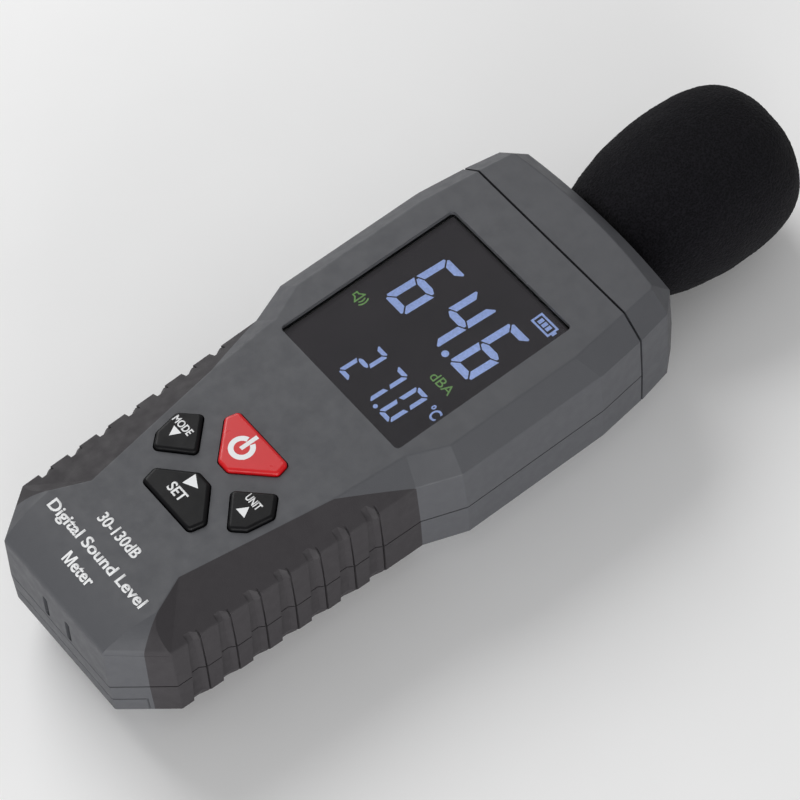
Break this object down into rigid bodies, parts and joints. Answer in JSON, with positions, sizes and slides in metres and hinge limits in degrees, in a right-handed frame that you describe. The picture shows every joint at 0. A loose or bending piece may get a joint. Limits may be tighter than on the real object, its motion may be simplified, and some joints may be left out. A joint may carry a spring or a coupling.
{
  "type": "sound level meter",
  "caption": "Hand-held sound level meter with foam windscreen, display, four keys, ribbed grips and battery door",
  "frame": {"origin": "centre of the bounding box's footprint, on the back plane that the meter lies on", "axes": "X across the meter, Y along it towards the microphone, Z out of the display"},
  "size_m": [0.0586, 0.1798, 0.0361],
  "materials": {
    "case": "fine matte texture, dark grey",
    "grip": "soft-touch, dark warm grey",
    "key_black": "satin black",
    "key_red": "satin red",
    "window": "clear, glossy",
    "display": "dark grey with pale blue and green segments",
    "foam": "open-cell black foam",
    "steel": "nickel-plated",
    "black_rubber": "matte black",
    "silicone": "grey silicone",
    "carbon": "conductive black",
    "board": "green solder mask",
    "chip": "matte black",
    "capacitor": "bare can",
    "light_guide": "white",
    "cell": "plain sleeve",
    "lead": "insulated wire"
  },
  "bodies": {
    "housing": {"amplifier_chip": "chip", "backlight_panel": "light_guide", "battery_cell_1": "cell", "battery_cell_2": "cell", "battery_cell_3": "cell", "battery_contacts": "steel", "battery_leads": "lead", "battery_springs": "steel", "buzzer": "chip", "capacitors": "capacitor", "case_screws": "steel", "controller_chip": "chip", "display_gasket": "black_rubber", "display_window": "window", "dome_mode": "silicone", "dome_power": "silicone", "dome_set": "silicone", "dome_unit": "silicone", "front_case": "case", "grip_front_left": "grip", "grip_front_right": "grip", "grip_rear_left": "grip", "grip_rear_right": "grip", "keypad_mat": "silicone", "lcd_frame": "chip", "lcd_panel": "display", "main_pcb": "board", "microphone_boot": "black_rubber", "microphone_capsule": "steel", "microphone_grille": "steel", "microphone_lead": "lead", "microphone_sleeve": "black_rubber", "microphone_tube": "steel", "pcb_screws": "steel", "rear_case": "case", "sensor_cap": "case", "temperature_sensor": "chip", "zebra_strip": "black_rubber"},
    "power_button": {"key_power": "key_red", "pill_power": "carbon"},
    "set_button": {"key_set": "key_black", "pill_set": "carbon"},
    "mode_button": {"key_mode": "key_black", "pill_mode": "carbon"},
    "unit_button": {"key_unit": "key_black", "pill_unit": "carbon"},
    "foam_ball": {"windscreen": "foam"},
    "door": {"battery_door": "case"}
  },
  "joints": [
    {"name": "press_power", "type": "slide", "parent": "housing", "child": "power_button", "axis": [0, 0, -1], "range_m": [0, 0.0008], "stiffness_N_per_m": 600, "springref_m": -0.0003, "deforming": ["dome_power"]},
    {"name": "press_set", "type": "slide", "parent": "housing", "child": "set_button", "axis": [0, 0, -1], "range_m": [0, 0.0008], "stiffness_N_per_m": 600, "springref_m": -0.0003, "deforming": ["dome_set"]},
    {"name": "press_mode", "type": "slide", "parent": "housing", "child": "mode_button", "axis": [0, 0, -1], "range_m": [0, 0.0008], "stiffness_N_per_m": 600, "springref_m": -0.0003, "deforming": ["dome_mode"]},
    {"name": "press_unit", "type": "slide", "parent": "housing", "child": "unit_button", "axis": [0, 0, -1], "range_m": [0, 0.0008], "stiffness_N_per_m": 600, "springref_m": -0.0003, "deforming": ["dome_unit"]},
    {"name": "pull_windscreen", "type": "slide", "parent": "housing", "child": "foam_ball", "axis": [0, 1, 0], "range_m": [0, 0.03]},
    {"name": "open_battery_door", "type": "hinge", "parent": "housing", "child": "door", "pos_m": [0, -0.02665, 0.0002], "axis": [1, 0, 0], "range_deg": [0, 60]}
  ]
}
